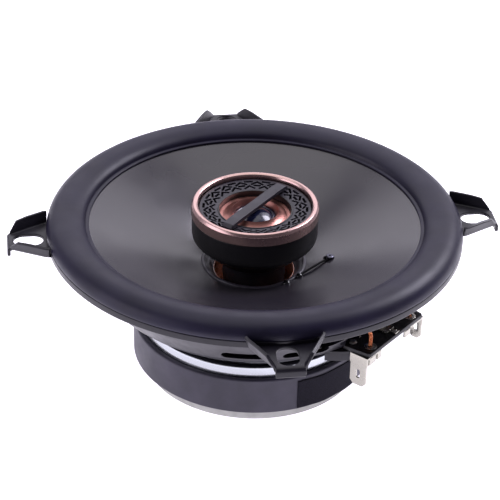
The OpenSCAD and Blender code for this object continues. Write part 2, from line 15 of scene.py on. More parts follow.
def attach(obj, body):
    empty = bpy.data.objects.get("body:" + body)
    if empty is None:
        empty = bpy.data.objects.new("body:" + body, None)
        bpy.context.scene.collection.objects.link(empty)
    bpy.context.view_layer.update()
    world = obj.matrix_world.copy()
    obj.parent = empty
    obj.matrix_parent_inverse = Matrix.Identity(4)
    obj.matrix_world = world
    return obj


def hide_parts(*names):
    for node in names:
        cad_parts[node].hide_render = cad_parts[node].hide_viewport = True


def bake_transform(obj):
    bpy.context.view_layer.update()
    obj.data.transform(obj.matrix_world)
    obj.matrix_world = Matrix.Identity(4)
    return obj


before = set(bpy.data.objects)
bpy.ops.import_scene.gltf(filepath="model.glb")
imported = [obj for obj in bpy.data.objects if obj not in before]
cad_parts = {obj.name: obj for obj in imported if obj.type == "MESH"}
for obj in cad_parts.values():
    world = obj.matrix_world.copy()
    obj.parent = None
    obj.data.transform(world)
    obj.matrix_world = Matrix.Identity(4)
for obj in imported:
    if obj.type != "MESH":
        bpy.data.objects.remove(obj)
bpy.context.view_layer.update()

MM = 0.001
CHASSIS, CONE, DIAPHRAGM = "chassis", "moving_cone", "tweeter_diaphragm"
BOARD_TURN = Matrix.Rotation(math.radians(-45), 4, "Z")

# Heights and radii that part.scad has too
TAB_Z, SHEET, RIM_R, RIM_LIP_Z = 54.3, 1.2, 71.8, 55.6
NECK_R, NECK_Z, CONE_R, CONE_Z, CONE_BOW = 17.6, 40.9, 57.4, 57.0, 0.9
CREST_R, CREST_Z, ROLL_FOOT_Z = 65.4, 61.1, 55.8
SHELF_Z, SHELF_R = 34.5, 50.5
LEDGE_Z = SHELF_Z + 0.12
BOARD_T, BLADE_T = 1.5, 0.8
BOARD_Z1 = LEDGE_Z + BOARD_T
# Out from the axis and to the side, in the board's frame
EYELET_AT, BOARD_RIVET_AT = (57.8, 11.7), (51.8, 13.4)
TRIM_R, TRIM_Z = 22.05, 64.65
GRILLE_BORE, GRILLE_R, GRILLE_IN_Z, GRILLE_OUT_Z = 12.4, 19.2, 61.9, 62.9
TOP_PLATE_Z, BACK_PLATE_T, BOOT_R = 23.6, 6.0, 42.1
POLE_Z = 24.2
FORMER_R = 13.9
DOME_Z, DOME_R, DOME_H = 59.45, 5.9, 2.1


# ---- materials -----------------------------------------------------------


def rgb(red, green, blue):
    """Linear RGBA from 0-255 display values."""
    return tuple(
        c / 12.92 if c <= 0.04045 else ((c + 0.055) / 1.055) ** 2.4
        for c in (red / 255, green / 255, blue / 255)
    ) + (1.0,)


class Finish:
    """A Principled material, built up from nodes."""

    def __init__(self, name, colour, rough, **sockets):
        self.mat = bpy.data.materials.new(name)
        self.mat.use_nodes = True
        self.tree = self.mat.node_tree
        self.bsdf = self.tree.nodes["Principled BSDF"]
        self.bsdf.inputs["Base Color"].default_value = colour
        self.bsdf.inputs["Roughness"].default_value = rough
        for key, value in sockets.items():
            self.bsdf.inputs[key.replace("_", " ").title().replace("Ior", "IOR")].default_value = value
        self.last_bump = None

    def node(self, kind, settings=None, **inputs):
        made = self.tree.nodes.new(kind)
        for key, value in (settings or {}).items():
            setattr(made, key, value)
        for key, value in inputs.items():
            socket = made.inputs[int(key[1:]) if key[0] == "i" and key[1:].isdigit() else key]
            if isinstance(value, bpy.types.NodeSocket):
                self.tree.links.new(value, socket)
            else:
                socket.default_value = value
        return made

    def place(self, scale=(1, 1, 1), uv=False):
        """Coordinates in millimetres, stretched by scale."""
        source = self.node("ShaderNodeTexCoord").outputs["UV" if uv else "Object"]
        unit = 1.0 if uv else 1 / MM
        mapped = self.node("ShaderNodeMapping", i0=source)
        mapped.inputs["Scale"].default_value = [s * unit for s in scale]
        return mapped.outputs[0]

    def noise(self, size, detail=3.0, scale=(1, 1, 1), uv=False, rough=0.55):
        """Noise whose features are about size millimetres across."""
        made = self.node(
            "ShaderNodeTexNoise",
            Vector=self.place(scale, uv),
            Scale=1 / size,
            Detail=detail,
            Roughness=rough,
        )
        return made.outputs["Fac"]

    def ramp(self, value, low, high, start, end):
        """value from low to high becomes start to end."""
        made = self.node("ShaderNodeMapRange", i0=value, i1=low, i2=high, i3=start, i4=end)
        return made.outputs[0]

    def mix(self, value, first, second):
        made = self.node("ShaderNodeMix", {"data_type": "RGBA"}, i0=value)
        for socket, colour in ((made.inputs[6], first), (made.inputs[7], second)):
            if isinstance(colour, bpy.types.NodeSocket):
                self.tree.links.new(colour, socket)
            else:
                socket.default_value = colour
        return made.outputs[2]

    def colour(self, socket):
        self.tree.links.new(socket, self.bsdf.inputs["Base Color"])
        return self

    def roughness(self, socket):
        self.tree.links.new(socket, self.bsdf.inputs["Roughness"])
        return self

    def bump(self, height, depth, strength=1.0):
        """Adds a bump of depth millimetres, on top of any earlier one."""
        made = self.node("ShaderNodeBump", Height=height, Strength=strength, Distance=depth * MM)
        if self.last_bump:
            self.tree.links.new(self.last_bump, made.inputs["Normal"])
        self.last_bump = made.outputs[0]
        self.tree.links.new(self.last_bump, self.bsdf.inputs["Normal"])
        return self

    def mottled(self, first, second, size, rough=None, detail=3.0, scale=(1, 1, 1)):
        """Two colours and, if given, two roughnesses in soft patches."""
        patches = self.ramp(self.noise(size, detail, scale), 0.35, 0.65, 0, 1)
        self.colour(self.mix(patches, first, second))
        if rough:
            self.roughness(self.ramp(self.noise(size * 0.6, detail, scale), 0.3, 0.7, *rough))
        return self

    def maths(self, operation, first, **inputs):
        made = self.node("ShaderNodeMath", {"operation": operation}, i0=first, **inputs)
        return made.outputs[0]

    def woven(self, pitch, depth, thread, gap):
        """A plain weave in UV millimetres, with threads pitch apart."""
        split = self.node("ShaderNodeSeparateXYZ", i0=self.place(uv=True))
        waves = []
        for axis in (0, 1):
            turn = self.maths("MULTIPLY", split.outputs[axis], i1=math.pi / pitch)
            waves.append(self.maths("SINE", turn))
        over = self.maths("MULTIPLY", waves[0], i1=waves[1])
        lift = self.maths("ABSOLUTE", over)
        fuzz = self.noise(pitch * 0.8, 2)
        shade = self.maths("ADD", lift, i1=self.ramp(fuzz, 0.3, 0.7, -0.3, 0.3))
        self.colour(self.mix(self.ramp(shade, 0.0, 1.0, 0, 1), gap, thread))
        return self.bump(lift, depth)


def metal(name, colour, rough, grain=6.0, depth=0.006, scale=(1, 1, 1), **sockets):
    """Plated metal with cloudy gloss and a trace of grain."""
    made = Finish(name, colour, rough, metallic=1.0, **sockets)
    made.roughness(made.ramp(made.noise(grain, 4, scale), 0.3, 0.7, rough * 0.75, rough * 1.3))
    return made.bump(made.noise(grain * 0.12, 3, scale), depth)


def build_finishes():
    made = {}

    paint = Finish("basket_paint", rgb(27, 25, 33), 0.36, specular_ior_level=0.35, coat_weight=0.1,
                   coat_roughness=0.3)
    paint.mottled(rgb(24, 22, 30), rgb(31, 29, 38), 9, (0.28, 0.42))
    paint.bump(paint.noise(0.8, 2), 0.012).bump(paint.noise(5, 2), 0.03)
    made["paint"] = paint

    rubber = Finish("surround_rubber", rgb(28, 25, 46), 0.42, specular_ior_level=0.34)
    rubber.mottled(rgb(26, 23, 43), rgb(32, 29, 51), 14, (0.37, 0.46))
    rubber.bump(rubber.noise(0.35, 2), 0.008)
    made["surround"] = rubber

    cone = Finish("cone_polymer", rgb(46, 43, 50), 0.24, specular_ior_level=0.85)
    cone.mottled(rgb(43, 40, 48), rgb(49, 46, 52), 22, (0.22, 0.27), 1.0)
    cone.bump(cone.noise(0.18, 1), 0.001)
    made["cone"] = cone

    cloth = Finish("spider_cloth", rgb(92, 78, 62), 0.85, sheen_weight=0.3)
    cloth.woven(0.55, 0.1, rgb(112, 96, 76), rgb(56, 46, 36))
    made["spider"] = cloth

    boot = Finish("boot_rubber", rgb(62, 59, 73), 0.5, specular_ior_level=0.45)
    boot.mottled(rgb(56, 54, 66), rgb(68, 65, 79), 12, (0.42, 0.56))
    boot.bump(boot.noise(0.5, 2), 0.012)
    made["boot"] = boot

    tape = Finish("tape_cloth", rgb(30, 28, 38), 0.9, specular_ior_level=0.25)
    tape.woven(0.42, 0.12, rgb(42, 39, 54), rgb(14, 13, 19))
    made["tape"] = tape

    plastic = Finish("black_plastic", rgb(20, 19, 22), 0.38)
    plastic.mottled(rgb(18, 17, 20), rgb(24, 23, 27), 8, (0.32, 0.46))
    plastic.bump(plastic.noise(0.4, 2), 0.006)
    made["plastic"] = plastic

    # Painted light: the post is a lighter copy of the black plastic, lifted to make up for the shade it sits
    # in
    post = Finish("post_plastic_lightened_for_shade", rgb(34, 33, 37), 0.34)
    post.mottled(rgb(31, 30, 34), rgb(38, 37, 42), 6, (0.3, 0.4)).bump(post.noise(0.4, 2), 0.006)
    made["post"] = post

    grille = Finish("grille_plastic", rgb(46, 44, 53), 0.42)
    grille.mottled(rgb(41, 39, 48), rgb(52, 49, 59), 6, (0.36, 0.48))
    grille.bump(grille.noise(0.3, 2), 0.005)
    made["grille"] = grille

    made["steel"] = metal("plated_steel", rgb(196, 200, 204), 0.2, 9, 0.004)
    made["rose"] = metal("rose_trim", rgb(210, 176, 170), 0.24, 12, 0.0004)
    made["copper"] = metal("copper_trim", rgb(186, 132, 122), 0.38, 4, 0.002)
    made["zinc"] = metal("zinc_plate", rgb(176, 176, 172), 0.5, 3, 0.02)
    made["tin"] = metal("tinned_metal", rgb(184, 181, 170), 0.26, 3, 0.02)
    made["dark_metal"] = metal("dark_metal", rgb(92, 92, 104), 0.35)
    made["nickel"] = metal("nickel_magnet", rgb(178, 178, 182), 0.3)
    made["wire"] = metal("copper_wire", rgb(190, 98, 58), 0.3, 2)

    ferrite = Finish("ferrite", rgb(52, 52, 56), 0.7)
    ferrite.mottled(rgb(44, 44, 48), rgb(62, 62, 66), 3, (0.6, 0.8)).bump(ferrite.noise(0.6, 4), 0.05)
    made["ferrite"] = ferrite

    dome = Finish("dome_fabric", rgb(26, 30, 58), 0.22, coat_weight=0.6, coat_roughness=0.12)
    dome.mottled(rgb(22, 26, 50), rgb(32, 36, 68), 2.5).bump(dome.noise(0.25, 2), 0.008)
    made["dome"] = dome

    laminate = Finish("board_laminate", rgb(26, 25, 28), 0.5)
    laminate.mottled(rgb(22, 21, 24), rgb(32, 31, 34), 1.5, (0.42, 0.6), scale=(1, 1, 4))
    laminate.bump(laminate.noise(0.5, 3, (1, 1, 6)), 0.03)
    made["laminate"] = laminate

    sleeve = Finish("capacitor_sleeve", rgb(30, 42, 84), 0.3, coat_weight=0.4)
    sleeve.mottled(rgb(26, 38, 78), rgb(36, 48, 92), 4, (0.26, 0.36)).bump(sleeve.noise(1.2, 2), 0.02)
    made["sleeve"] = sleeve

    braid = metal("copper_braid", rgb(176, 100, 64), 0.38, 0.8, 0.01)
    braid.colour(braid.mix(braid.ramp(braid.noise(0.6, 2), 0.4, 0.62, 0, 1), rgb(150, 80, 50),
                           rgb(214, 140, 98)))
    made["braid"] = braid

    jacket = Finish("wire_jacket", rgb(18, 17, 21), 0.4)
    jacket.mottled(rgb(15, 14, 18), rgb(26, 25, 30), 2, (0.34, 0.5)).bump(jacket.noise(0.5, 2), 0.02)
    made["jacket"] = jacket

    collar = Finish("collar_glue", rgb(66, 63, 72), 0.34, specular_ior_level=0.4)
    collar.mottled(rgb(56, 53, 61), rgb(78, 75, 84), 5, (0.28, 0.4)).bump(collar.noise(2.4, 2), 0.03)
    made["collar"] = collar

    film = Finish("former_film", rgb(196, 118, 90), 0.4, coat_weight=0.3, coat_roughness=0.15)
    film.mottled(rgb(184, 106, 78), rgb(206, 130, 102), 5, (0.2, 0.32), scale=(1, 1, 3))
    film.bump(film.noise(0.5, 2, (0.2, 0.2, 3)), 0.01)
    made["film"] = film

    glue = Finish("glue_black", rgb(14, 14, 17), 0.14, coat_weight=1.0, coat_roughness=0.05)
    glue.mottled(rgb(10, 10, 13), rgb(22, 22, 26), 1.2).bump(glue.noise(1.4, 2), 0.15)
    made["glue"] = glue

    return {key: finish.mat for key, finish in made.items()}


FINISH = build_finishes()


# ---- mesh helpers --------------------------------------------------------


def link_mesh(name, verts, faces, finish, uvs=None, angle=32.0, matrix=None):
    """A mesh object from millimetre points, smooth except at edges over angle."""
    mesh = bpy.data.meshes.new(name)
    mesh.from_pydata([tuple(c * MM for c in v) for v in verts], [], faces)
    if uvs:
        layer = mesh.uv_layers.new(name="UVMap")
        flat = np.array([c for face in uvs for uv in face for c in uv], np.float32)
        layer.data.foreach_set("uv", flat)
    mesh.update()
    made = bpy.data.objects.new(name, mesh)
    bpy.context.scene.collection.objects.link(made)
    return finished(made, finish, angle, matrix)


def finished(obj, finish, angle=32.0, matrix=None):
    """Turns faces outwards, sets smoothing and the material, and places the mesh."""
    soften = bmesh.new()
    soften.from_mesh(obj.data)
    bmesh.ops.recalc_face_normals(soften, faces=soften.faces[:])
    soften.to_mesh(obj.data)
    soften.free()
    if matrix is not None:
        obj.data.transform(matrix)
    obj.data.materials.clear()
    obj.data.materials.append(FINISH[finish])
    obj.data.shade_smooth()
    obj.data.set_sharp_from_angle(angle=math.radians(angle))
    return obj


def turned(degrees, axis="Z"):
    return Matrix.Rotation(math.radians(degrees), 4, axis)


def shift(x=0.0, y=0.0, z=0.0):
    return Matrix.Translation((x * MM, y * MM, z * MM))


def rounded(points, steps=4):
    """A closed outline whose corners (x, y, radius) are rounded; no radius is a sharp corner."""
    out = []
    count = len(points)
    for i, corner in enumerate(points):
        here = Vector(corner[:2])
        radius = corner[2] if len(corner) > 2 else 0
        if radius <= 0:
            out.append(tuple(here))
            continue
        before = Vector(points[i - 1][:2]) - here
        after = Vector(points[(i + 1) % count][:2]) - here
        half = before.angle(after) / 2
        reach = min(radius / max(math.tan(half), 0.05), before.length * 0.48, after.length * 0.48)
        start, end = here + before.normalized() * reach, here + after.normalized() * reach
        for k in range(steps + 1):
            t = k / steps
            out.append(tuple(start * (1 - t) ** 2 + here * 2 * t * (1 - t) + end * t * t))
    return out


def arc(cx, cy, a, b, start, end, steps):
    """Points on an elliptical arc, in degrees."""
    turns = [math.radians(start + (end - start) * k / steps) for k in range(steps + 1)]
    return [(cx + a * math.cos(t), cy + b * math.sin(t)) for t in turns]


def lathe(name, outline, finish, turns=256, angle=32.0, matrix=None, ripple=None):
    """A closed (r, z) outline turned round Z. ripple(theta, r, z) may move each point."""
    verts, index = [], {}
    for j, (r, z) in enumerate(outline):
        for i in range(1 if r < 1e-6 else turns):
            theta = 2 * math.pi * i / turns
            rr, zz = ripple(theta, r, z) if ripple else (r, z)
            index[i, j] = len(verts)
            verts.append((rr * math.cos(theta), rr * math.sin(theta), zz))
    along = [0.0]
    for a, b in zip(outline, outline[1:] + outline[:1]):
        along.append(along[-1] + math.dist(a, b))
    reference = max(r for r, z in outline)
    faces, uvs = [], []
    for j in range(len(outline)):
        k = (j + 1) % len(outline)
        for i in range(turns):
            corners = [(i, j), (i + 1, j), (i + 1, k), (i, k)]
            face, uv = [], []
            for u, v in corners:
                key = (0 if outline[v][0] < 1e-6 else u % turns, v)
                if index[key] in face:
                    continue
                face.append(index[key])
                far = along[j + 1] if v == k else along[j]
                uv.append((2 * math.pi * u / turns * reference, far))
            if len(face) > 2:
                faces.append(face)
                uvs.append(uv)
    return link_mesh(name, verts, faces, finish, uvs, angle, matrix)


def inset(outline, distance, hole):
    """The outline moved into the material by distance; the outside runs anticlockwise."""
    area = sum(a[0] * b[1] - b[0] * a[1] for a, b in zip(outline, outline[1:] + outline[:1]))
    points = [Vector(p) for p in (outline if (area > 0) != hole else outline[::-1])]
    moved = []
    for i, here in enumerate(points):
        before = (here - points[i - 1]).normalized()
        after = (points[(i + 1) % len(points)] - here).normalized()
        left = [Vector((-d.y, d.x)) for d in (before, after)]
        miter = left[0] + left[1]
        reach = distance / max(miter.length_squared / 2, 0.3)
        moved.append(here + miter * reach)
    return points, moved


def encloses(loop, point):
    """True when a 2-D point lies inside a closed loop."""
    within = False
    for a, b in zip(loop, loop[1:] + loop[:1]):
        if (a.y > point.y) != (b.y > point.y):
            within ^= point.x < a.x + (point.y - a.y) * (b.x - a.x) / (b.y - a.y)
    return within


def plate(name, outline, holes, thickness, finish, bevel=0.15, matrix=None, angle=32.0):
    """A flat plate with holes and rounded edges, centred on z = 0 before matrix."""
    half = thickness / 2
    verts, faces, caps = [], [], []
    for loop, hole in [(outline, False)] + [(h, True) for h in holes]:
        outer, inner = inset([tuple(p) for p in loop], bevel, hole)
        count = len(outer)
        rows = []
        for side in (-1, 1):
            for turn in ((0, 30, 60, 90) if side < 0 else (90, 60, 30, 0)):
                lift, keep = math.sin(math.radians(turn)), math.cos(math.radians(turn))
                rows.append(len(verts))
                z = side * (half - bevel + bevel * keep)
                verts += [tuple(i.lerp(o, lift)) + (z,) for i, o in zip(inner, outer)]
        for low, high in zip(rows, rows[1:]):
            faces += [[low + i, low + (i + 1) % count, high + (i + 1) % count,
                       high + i] for i in range(count)]
        caps.append((rows[0], rows[-1], count, inner))
    flat = [p for _, _, _, inner in caps for p in inner]
    edges, start, owner = [], 0, []
    for low, high, count, _ in caps:
        edges += [(start + i, start + (i + 1) % count) for i in range(count)]
        owner += [(low + i, high + i) for i in range(count)]
        start += count
    made = delaunay_2d_cdt(flat, edges, [], 1, 1e-7)
    ends = []
    for point, origins in zip(made[0], made[3]):
        if origins:
            ends.append(owner[origins[0]])
        else:
            ends.append((len(verts), len(verts) + 1))
            verts += [tuple(point) + (-half,), tuple(point) + (half,)]
    loops = [inner for _, _, _, inner in caps]
    for face in made[2]:
        middle = sum((made[0][i] for i in face), Vector((0, 0))) / len(face)
        if sum(encloses(loop, middle) for loop in loops) % 2:
            corners = [ends[i] for i in face]
            faces += [[c[0] for c in corners][::-1], [c[1] for c in corners]]
    return link_mesh(name, verts, faces, finish, angle=angle, matrix=matrix)


def joined(name, parts):
    """One object from several; the first one's materials come first."""
    blend = bmesh.new()
    slots = []
    for part in parts:
        start = len(blend.faces)
        blend.from_mesh(part.data)
        blend.faces.ensure_lookup_table()
        shown = part.data.materials[0]
        if shown not in slots:
            slots.append(shown)
        for face in blend.faces[start:]:
            face.material_index = slots.index(shown)
    mesh = bpy.data.meshes.new(name)
    blend.to_mesh(mesh)
    blend.free()
    for slot in slots:
        mesh.materials.append(slot)
    for part in parts:
        bpy.data.objects.remove(part)
    made = bpy.data.objects.new(name, mesh)
    bpy.context.scene.collection.objects.link(made)
    return made


def cut(target, cutter):
    """target less cutter, which is then removed."""
    trim = target.modifiers.new("cut", "BOOLEAN")
    trim.operation = "DIFFERENCE"
    trim.solver = "EXACT"
    trim.object = cutter
    bpy.context.view_layer.update()
    graph = bpy.context.evaluated_depsgraph_get()
    mesh = bpy.data.meshes.new_from_object(target.evaluated_get(graph))
    target.modifiers.clear()
    target.data = mesh
    bpy.data.objects.remove(cutter)
    return target


def prism(outline, depth, matrix):
    """A closed prism on an outline, for cutting."""
    count = len(outline)
    verts = [(x, y, 0) for x, y in outline] + [(x, y, depth) for x, y in outline]
    faces = [list(range(count))[::-1], list(range(count, 2 * count))]
    faces += [[i, (i + 1) % count, count + (i + 1) % count, count + i] for i in range(count)]
    return link_mesh("cutter", verts, faces, "paint", matrix=matrix)


def slot_outline(length, width, steps=16):
    half = (length - width) / 2
    return arc(half, 0, width / 2, width / 2, -90, 90, steps) + arc(-half, 0, width / 2, width / 2, 90, 270,
            steps)


def radial(angle, z, r0):
    """A frame whose x runs round the part, y up and z outwards, at one angle and height."""
    facing = Matrix(((0, 0, 1, 0), (1, 0, 0, 0), (0, 1, 0, 0), (0, 0, 0, 1)))
    return turned(angle) @ shift(r0, 0, z) @ facing


def spline(points, steps):
    """A smooth path through points."""
    rows = [np.array(p, float) for p in points]
    out = []
    for i in range(len(rows) - 1):
        a, b, c, d = rows[max(i - 1, 0)], rows[i], rows[i + 1], rows[min(i + 2, len(rows) - 1)]
        for k in range(steps):
            u = k / steps
            out.append(0.5 * (2 * b + (c - a) * u + (2 * a - 5 * b + 4 * c - d) * u * u
                              + (3 * b - a - 3 * c + d) * u ** 3))
    return out + [rows[-1]]


def frames_along(path):
    """Side and up vectors along a path, turning as little as they can."""
    side = None
    rows = []
    for i, here in enumerate(path):
        along = path[min(i + 1, len(path) - 1)] - path[max(i - 1, 0)]
        along = along / np.linalg.norm(along)
        if side is None:
            side = np.cross(along, (0.31, 0.94, 0.12))
        side = side - along * (side @ along)
        side = side / np.linalg.norm(side)
        rows.append((here, side, np.cross(side, along)))
    return rows


def tube(name, path, radius, finish, sides=14, matrix=None):
    """A round tube with domed ends along a path."""
    rows = frames_along([np.array(p, float) for p in path])
    ends = [(-0.8, 0.45), (-0.35, 0.85)]
    verts = []
    rings = []
    for i, (here, side, up) in enumerate(rows):
        along = np.cross(up, side)
        places = [(0.0, 1.0)]
        if i == 0:
            places = ends + places
        if i == len(rows) - 1:
            places = places + [(-a, s) for a, s in reversed(ends)]
        for back, swell in places:
            centre = here + along * back * radius
            size = radius * swell
            rings.append(len(verts))
            for k in range(sides):
                turn = 2 * math.pi * k / sides
                verts.append(centre + size * (math.cos(turn) * side + math.sin(turn) * up))
    faces = [
        [a + k, a + (k + 1) % sides, b + (k + 1) % sides, b + k]
        for a, b in zip(rings, rings[1:])
        for k in range(sides)
    ]
    faces += [list(range(rings[0], rings[0] + sides))[::-1], list(range(rings[-1], rings[-1] + sides))]
    return link_mesh(name, [tuple(v) for v in verts], faces, finish, matrix=matrix, angle=60)


def twisted(name, path, radius, strands, pitch, finish, matrix=None):
    """Strands laid round a path as a rope of that radius."""
    rows = frames_along([np.array(p, float) for p in path])
    far = [0.0]
    for a, b in zip(rows, rows[1:]):
        far.append(far[-1] + float(np.linalg.norm(b[0] - a[0])))
    strand_r = radius * 0.46
    parts = []
    for s in range(strands):
        line = []
        for (here, side, up), run in zip(rows, far):
            turn = 2 * math.pi * (s / strands + run / pitch)
            offset = (radius - strand_r) * (math.cos(turn) * side + math.sin(turn) * up)
            line.append(here + offset)
        parts.append(tube(f"{name}_{s}", line, strand_r, finish, 10, matrix))
    return joined(name, parts)


def thick_sheet(name, grid, thickness, finish, angle=40.0, matrix=None, uv_step=None):
    """A sheet of even thickness on a grid of points, with rounded free edges."""
    points = np.array(grid, float)
    down = np.gradient(points, axis=0)
    across = np.gradient(points, axis=1)
    normals = np.cross(down, across)
    normals /= np.maximum(np.linalg.norm(normals, axis=2, keepdims=True), 1e-9)
    rows, columns = points.shape[:2]
    half = thickness / 2
    upper, lower = points + normals * half * 0.999, points - normals * half * 0.999
    verts = [tuple(v) for v in upper.reshape(-1, 3)] + [tuple(v) for v in lower.reshape(-1, 3)]
    total = rows * columns
    faces, uvs = [], []
    step = uv_step or (1.0, 1.0)
    for i in range(rows - 1):
        for j in range(columns - 1):
            a, b, c, d = i * columns + j, i * columns + j + 1, (i + 1) * columns + j + 1, (i + 1) * columns + j
            square = [(i * step[0], j * step[1]), (i * step[0], (j + 1) * step[1]),
                      ((i + 1) * step[0], (j + 1) * step[1]), ((i + 1) * step[0], j * step[1])]
            faces += [[a, b, c, d], [total + d, total + c, total + b, total + a]]
            uvs += [square, square[::-1]]
    border = [(0, j) for j in range(columns)] + [(i, columns - 1) for i in range(1, rows)]
    border += [(rows - 1, j) for j in range(columns - 2, -1, -1)] + [(i, 0) for i in range(rows - 2, 0, -1)]
    rim = []
    for i, j in border:
        inward = points[min(max(i, 1), rows - 2), min(max(j, 1), columns - 2)] - points[i, j]
        normal = normals[i, j]
        inward = inward - normal * (inward @ normal)
        outward = -inward / max(np.linalg.norm(inward), 1e-9)
        ring = []
        for lift in (0.62, -0.62):
            ring.append(len(verts))
            verts.append(tuple(points[i, j] + outward * half * 0.5 + normal * half * lift))
        rim.append([i * columns + j, *ring, total + i * columns + j])
    for a, b in zip(rim, rim[1:] + rim[:1]):
        for k in range(3):
            faces.append([a[k], a[k + 1], b[k + 1], b[k]])
            uvs.append([(0.0, 0.0)] * 4)
    return link_mesh(name, verts, faces, finish, uvs, angle, matrix)


def place(obj, body, slot_name, *nodes):
    """obj rides on body and stands for the nodes, which it hides; slot_name is not used."""
    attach(obj, body)
    if nodes:
        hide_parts(*nodes)
    return obj


def bridge_bodies(obj, moving, still_r, moving_r, slot_name, *nodes):
    """A ring that stays where it is made: hides the nodes and bakes its placement into the mesh; each point's
    share from still_r to moving_r is worked out but not used. moving is not used. slot_name is not used.
    """
    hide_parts(*nodes)
    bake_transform(obj)
    co = np.array([v.co for v in obj.data.vertices], float)
    share = (np.hypot(co[:, 0], co[:, 1]) / MM - still_r) / (moving_r - still_r)
    share = np.clip(share, 0, 1)
    return obj


def cone_top(r):
    """Height of the cone's front face."""
    return NECK_Z + (CONE_Z - NECK_Z) * ((r - NECK_R) / (CONE_R - NECK_R)) ** CONE_BOW


def grille_top(r):
    return GRILLE_IN_Z + (GRILLE_OUT_Z - GRILLE_IN_Z) * (r - GRILLE_BORE) / (GRILLE_R - GRILLE_BORE)


# ---- basket --------------------------------------------------------------


def tab(angle):
    """One mounting tab: plate, two folded flanges and a turned-down tip."""
    mid_z = TAB_Z - SHEET / 2
    bend = 1.3
    splay = 1.4 / 4.7
    stations = [70.0, 72.4, 75, 78.3, 81.83, 83.2, 83.9]
    tip = [(83.9 + 0.9 * math.sin(t), mid_z - 0.9 * (1 - math.cos(t)))
           for t in [math.radians(a) for a in (22, 45, 68, 90)]]
    tip += [(84.8, 52.3), (84.8, 51.3)]
    lines = [(x, mid_z) for x in stations] + tip
    grid = []
    for x, z in lines:
        half = 11.3 - 6.6 * min(max((x - 72) / 12.4, 0), 1)
        rise = 4.1 * min(max((84.5 - x) / 2.9, 0.0), 1.0) if z == mid_z else 0.0
        rise = max(rise, 0.02)
        r = min(bend, rise * 0.7)
        column = []
        top = (half + splay * rise, rise)
        foot = (half - r + r * math.sin(math.radians(86)), r * (1 - math.cos(math.radians(86))))
        for k in range(3):
            t = k / 3
            column.append((top[0] * (1 - t) + foot[0] * t, top[1] * (1 - t) + foot[1] * t))
        for k in range(5):
            t = math.radians(86 * (1 - k / 5))
            column.append((half - r + r * math.sin(t), r * (1 - math.cos(t))))
        column.append((half - r, 0))
        full = [(-y, h) for y, h in column] + [(y, h) for y, h in column[::-1]]
        row = []
        for y, h in full:
            inner = 72.5 if h > 0.35 else 71.3
            row.append((max(x, math.sqrt(inner * inner - y * y)), y, z + h))
        grid.append(row)
    turn = turned(angle)
    made = thick_sheet("tab", grid, SHEET - 0.04, "paint", angle=30)
    made = cut(made, prism(slot_outline(10.2, 7.2, 20), 6, shift(78, 0, TAB_Z - 3)))
    edge = bmesh.new()
    edge.from_mesh(made.data)
    rim = []
    for e in edge.edges:
        near = []
        for v in e.verts:
            x, y = v.co.x / MM - 78, v.co.y / MM
            away = math.hypot(max(abs(x) - 1.5, 0), y)
            near.append(abs(away - 3.6) < 0.02)
        if all(near) and abs(e.verts[0].co.z - e.verts[1].co.z) < 0.2 * MM and e.calc_length() > 1e-6:
            if len(e.link_faces) == 2 and e.calc_face_angle(0) > 1:
                rim.append(e)
    bmesh.ops.bevel(edge, geom=rim, offset=0.22 * MM, segments=2, affect="EDGES", clamp_overlap=False)
    edge.to_mesh(made.data)
    edge.free()
    return finished(made, "paint", 30, turn)


